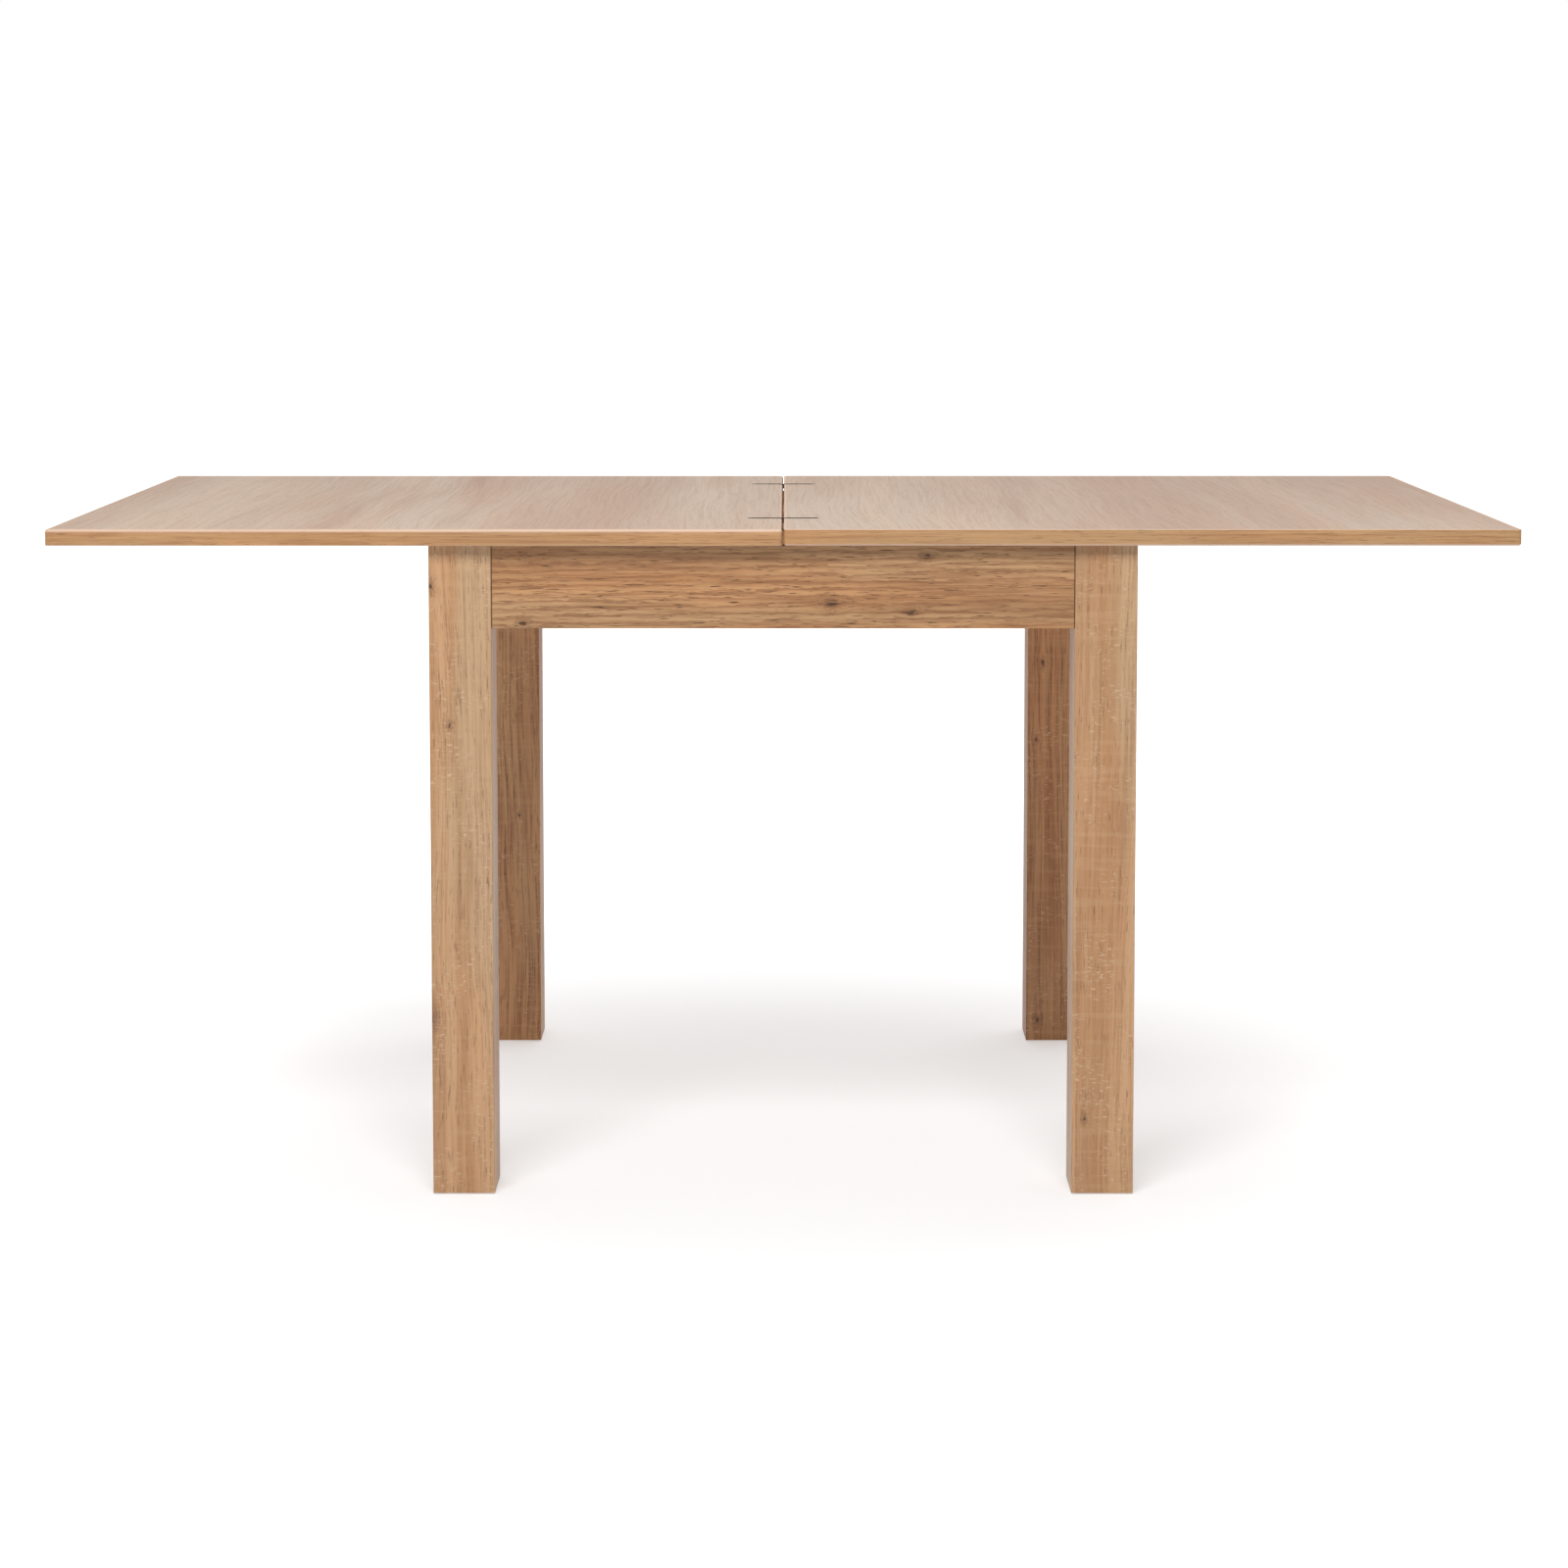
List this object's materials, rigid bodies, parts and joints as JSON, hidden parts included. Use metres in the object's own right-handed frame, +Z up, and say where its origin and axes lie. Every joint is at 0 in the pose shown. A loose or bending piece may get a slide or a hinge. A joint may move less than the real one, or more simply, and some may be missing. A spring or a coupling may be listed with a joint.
{
  "type": "flip-top extending table",
  "caption": "Square dining table whose hinged top leaf opens out to double its length, on a square leg frame with sliding rails.",
  "frame": {"origin": "on the floor under the middle of the leg frame, which is also under the seam of the open top", "axes": "+X along the open table from the sliding leaf to the folding leaf, +Y across it, +Z up"},
  "size_m": [1.6, 0.8, 0.738],
  "materials": {
    "top_melamine": "oak-effect melamine, matt",
    "edge_band": "oak-effect edge band, fine embossed grain",
    "leg_foil": "oak-effect foil, satin",
    "apron_foil": "oak-effect foil, satin",
    "beech": "planed, bare",
    "hinge_metal": "nickel plated, satin",
    "zinc_steel": "zinc plated",
    "nylon": "moulded, plain",
    "dark_plastic": "moulded, plain"
  },
  "bodies": {
    "frame": {"slide_rail_front": "beech", "slide_rail_back": "beech", "apron_dowels": "beech", "rail_bracket_screws": "zinc_steel", "hanger_bolts": "zinc_steel", "bolt_washers": "zinc_steel", "bolt_nuts": "zinc_steel", "corner_bracket_screws": "zinc_steel", "rail_bracket_front_left": "zinc_steel", "rail_bracket_front_right": "zinc_steel", "rail_bracket_back_left": "zinc_steel", "rail_bracket_back_right": "zinc_steel", "corner_bracket_front_left": "zinc_steel", "corner_bracket_front_right": "zinc_steel", "corner_bracket_back_left": "zinc_steel", "corner_bracket_back_right": "zinc_steel", "slide_pads": "nylon", "runner_stops": "dark_plastic", "foot_glide_front_left": "dark_plastic", "foot_glide_front_right": "dark_plastic", "foot_glide_back_left": "dark_plastic", "foot_glide_back_right": "dark_plastic", "leg_front_left": "leg_foil", "leg_front_right": "leg_foil", "leg_back_left": "leg_foil", "leg_back_right": "leg_foil", "apron_front": "apron_foil", "apron_back": "apron_foil", "apron_left": "apron_foil", "apron_right": "apron_foil"},
    "sliding_leaf": {"left_leaf_board": "top_melamine", "left_leaf_band_front": "edge_band", "left_leaf_band_back": "edge_band", "left_leaf_band_outer": "edge_band", "left_leaf_band_seam": "edge_band", "hinge_plate_front_left": "hinge_metal", "hinge_plate_back_left": "hinge_metal", "hinge_pins_left": "hinge_metal", "hinge_screws_left": "hinge_metal", "runner_front": "beech", "runner_back": "beech", "runner_screws": "zinc_steel"},
    "hinge_links": {"hinge_link_front": "hinge_metal", "hinge_link_back": "hinge_metal"},
    "folding_leaf": {"right_leaf_board": "top_melamine", "right_leaf_band_front": "edge_band", "right_leaf_band_back": "edge_band", "right_leaf_band_outer": "edge_band", "right_leaf_band_seam": "edge_band", "hinge_plate_front_right": "hinge_metal", "hinge_plate_back_right": "hinge_metal", "hinge_pins_right": "hinge_metal", "hinge_screws_right": "hinge_metal"}
  },
  "joints": [
    {"name": "top_slide", "type": "slide", "parent": "frame", "child": "sliding_leaf", "axis": [1, 0, 0], "range_m": [0, 0.4]},
    {"name": "leaf_fold", "type": "hinge", "parent": "sliding_leaf", "child": "folding_leaf", "pos_m": [0, 0, 0.73815], "axis": [0, -1, 0], "range_deg": [0, 180]},
    {"name": "link_turn", "type": "hinge", "parent": "sliding_leaf", "child": "hinge_links", "pos_m": [-0.003, 0, 0.73515], "axis": [0, -1, 0], "range_deg": [0, 90]}
  ],
  "couplings": [
    {"joint": "link_turn", "follows": "leaf_fold", "ratio": 0.5}
  ]
}
